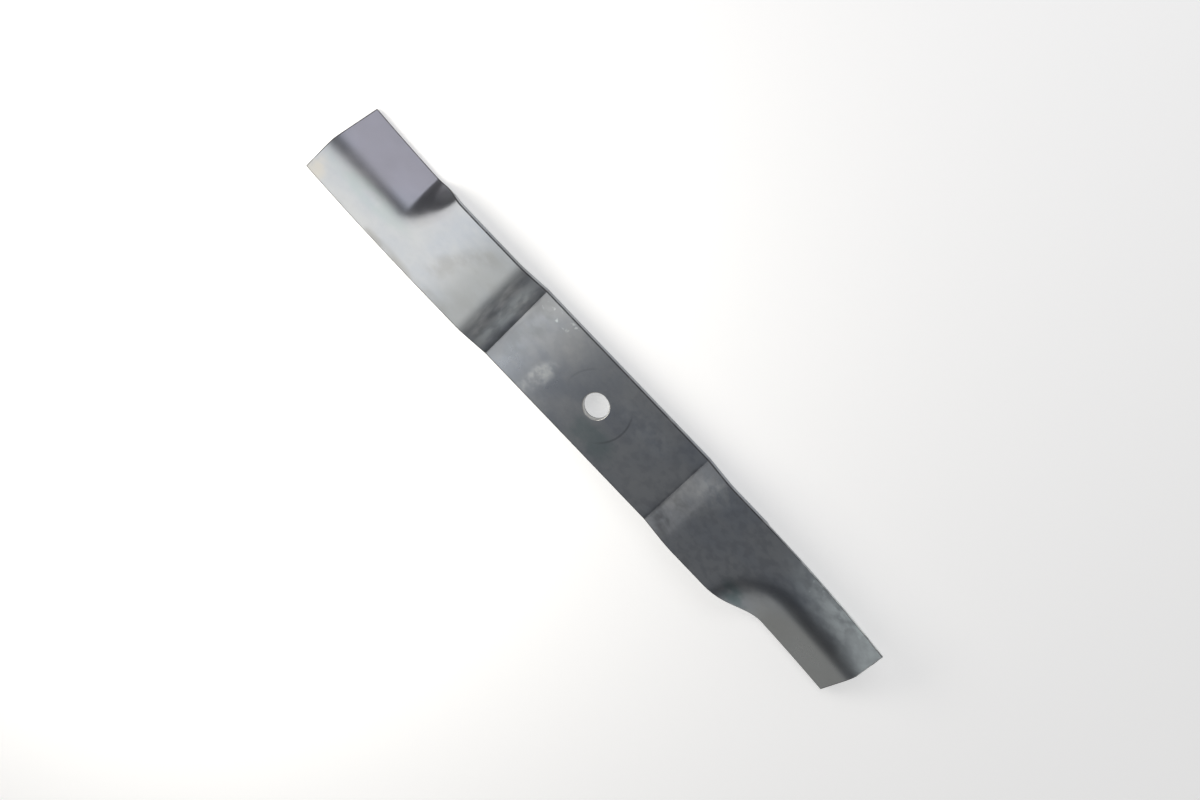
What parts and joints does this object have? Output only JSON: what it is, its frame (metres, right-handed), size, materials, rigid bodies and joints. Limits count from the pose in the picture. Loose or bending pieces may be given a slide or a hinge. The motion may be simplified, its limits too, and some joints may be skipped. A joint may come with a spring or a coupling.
{
  "type": "rotary mower blade",
  "caption": "Offset rotary mower blade of flat bar steel, with a central bolt hole, raised wings, folded-down sails at the tips and ground cutting edges.",
  "frame": {"origin": "centre of the spindle bolt hole, on the deck-side face of the recessed centre", "axes": "+Z along the bolt hole towards the grass side, +X along the blade, +Y towards the cutting edge of the +X end"},
  "size_m": [0.4576, 0.0573, 0.0254],
  "materials": {
    "steel": "dark oiled mill scale, worn bright in places"
  },
  "bodies": {
    "root": {"blade": "steel"}
  },
  "joints": []
}
